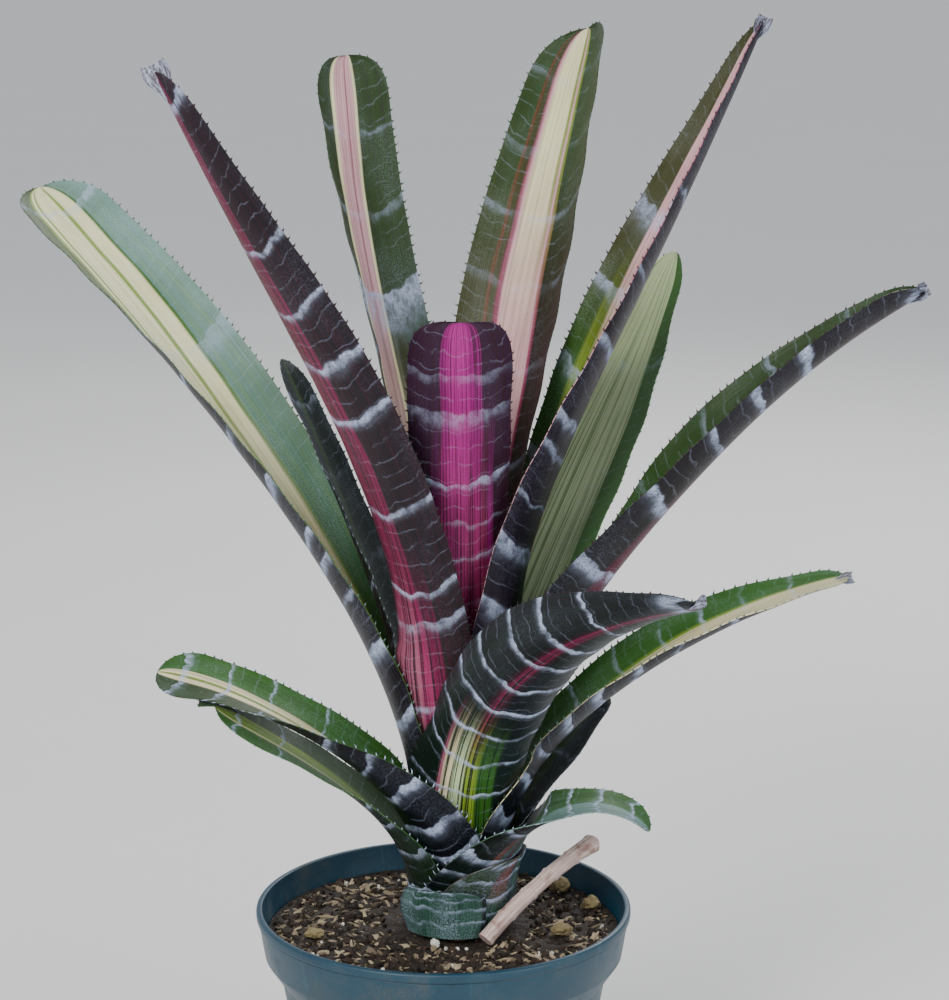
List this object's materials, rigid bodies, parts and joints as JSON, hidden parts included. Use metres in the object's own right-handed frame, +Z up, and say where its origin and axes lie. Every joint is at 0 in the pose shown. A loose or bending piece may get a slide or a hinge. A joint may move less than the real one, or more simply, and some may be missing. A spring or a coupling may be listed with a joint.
{
  "type": "potted bromeliad",
  "caption": "Tank bromeliad in a plastic nursery pot: a rosette of banded, striped, spine-edged strap leaves that holds water, rooted in a bark and peat mix.",
  "frame": {"origin": "middle of the pot's flat underside", "axes": "+Z up, -Y towards the front, where the magenta heart leaf shows, +X to the right"},
  "size_m": [0.363, 0.2469, 0.4672],
  "materials": {
    "pot": "dark teal injection-moulded polypropylene, soft satin, faint scuffs",
    "soil": "damp peat and bark potting mix with tan flecks",
    "stem": "fibrous short stem, matt",
    "stolon": "dry pinkish cut runner, matt, wrinkled",
    "perlite": "white expanded perlite, porous, matt",
    "bark": "tan bark lump, matt",
    "leaf_red": "dark purple underside with grey cross bands and a crimson to pink middle stripe, satin",
    "leaf_pale": "green upper side with a cream to pink middle stripe and fine green lines, satin",
    "leaf_green": "dark green with whitish cross bands and a yellow-green middle stripe, satin",
    "old_sheath": "old grey-green sheath with white scurf bands, matt"
  },
  "bodies": {
    "root": {"pot": "pot", "soil": "soil", "stem": "stem", "stolon_stub": "stolon", "perlite_grain_1": "perlite", "perlite_grain_2": "perlite", "perlite_grain_3": "perlite", "bark_chunk_1": "bark", "bark_chunk_2": "bark", "bark_chunk_3": "bark", "bark_chunk_4": "bark", "leaf_heart": "leaf_red", "leaf_back_tall": "leaf_pale", "leaf_back_left": "leaf_pale", "leaf_right_tall": "leaf_red", "leaf_left_tall": "leaf_red", "leaf_back_right": "leaf_pale", "leaf_back_short": "leaf_green", "leaf_right_arching": "leaf_red", "leaf_left_arching": "leaf_pale", "leaf_front": "leaf_red", "leaf_right_low": "leaf_pale", "leaf_left_low": "leaf_green", "leaf_right_short": "leaf_green", "leaf_left_short": "leaf_green", "leaf_right_hooked": "leaf_green", "old_sheath_right": "old_sheath", "old_sheath_front": "old_sheath"}
  },
  "joints": []
}
